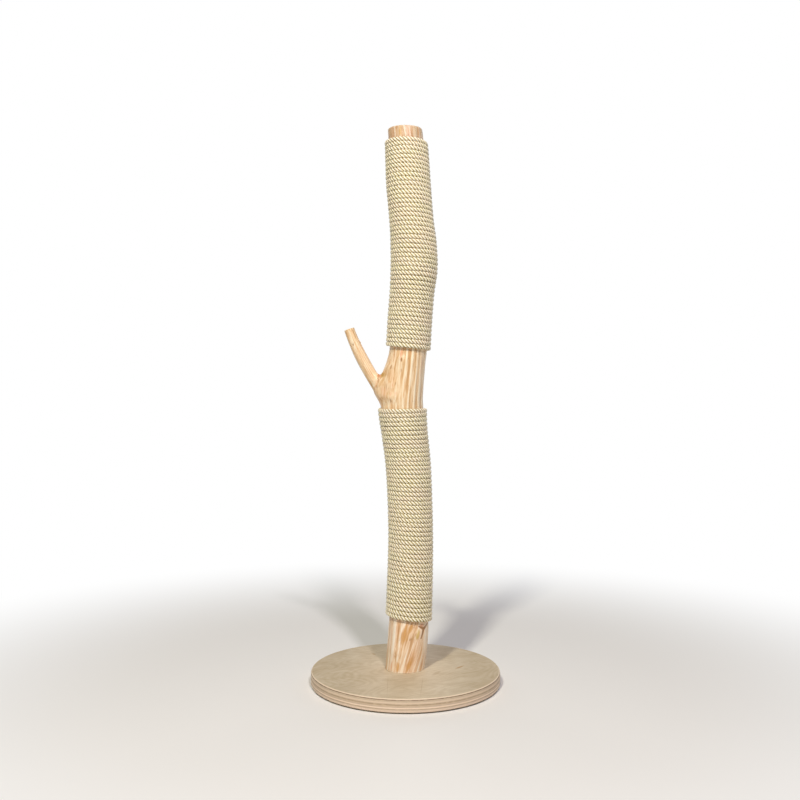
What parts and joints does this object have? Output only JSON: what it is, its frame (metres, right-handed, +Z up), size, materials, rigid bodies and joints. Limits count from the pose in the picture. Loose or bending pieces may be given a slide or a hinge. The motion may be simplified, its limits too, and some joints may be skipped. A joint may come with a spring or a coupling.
{
  "type": "cat scratching post",
  "caption": "Free-standing cat scratching post: a natural S-curved trunk with a side limb, wound tightly with sisal rope above and below the fork, on a round plywood base.",
  "frame": {"origin": "on the floor under the middle of the round base, at the underside of the felt pads", "axes": "+Z up along the trunk, the side limb on the -X side, the pictured front towards -Y"},
  "size_m": [0.3999, 0.4, 1.176],
  "materials": {
    "base_plywood": "satin clear-coated birch multiplex",
    "trunk_wood": "debarked, sanded and satin varnished",
    "sisal_rope": "natural matt fibre, three-strand",
    "felt": "matt needle felt",
    "zinc_steel": "bright zinc plated",
    "yellow_zinc": "yellow zinc plated"
  },
  "bodies": {
    "root": {"base_plate": "base_plywood", "felt_pads": "felt", "trunk": "trunk_wood", "lower_rope_winding": "sisal_rope", "upper_rope_winding": "sisal_rope", "lower_rope_staples": "zinc_steel", "upper_rope_staples": "zinc_steel", "threaded_insert": "yellow_zinc", "base_bolt": "zinc_steel", "base_washer": "zinc_steel", "anti_twist_screws": "yellow_zinc"}
  },
  "joints": []
}
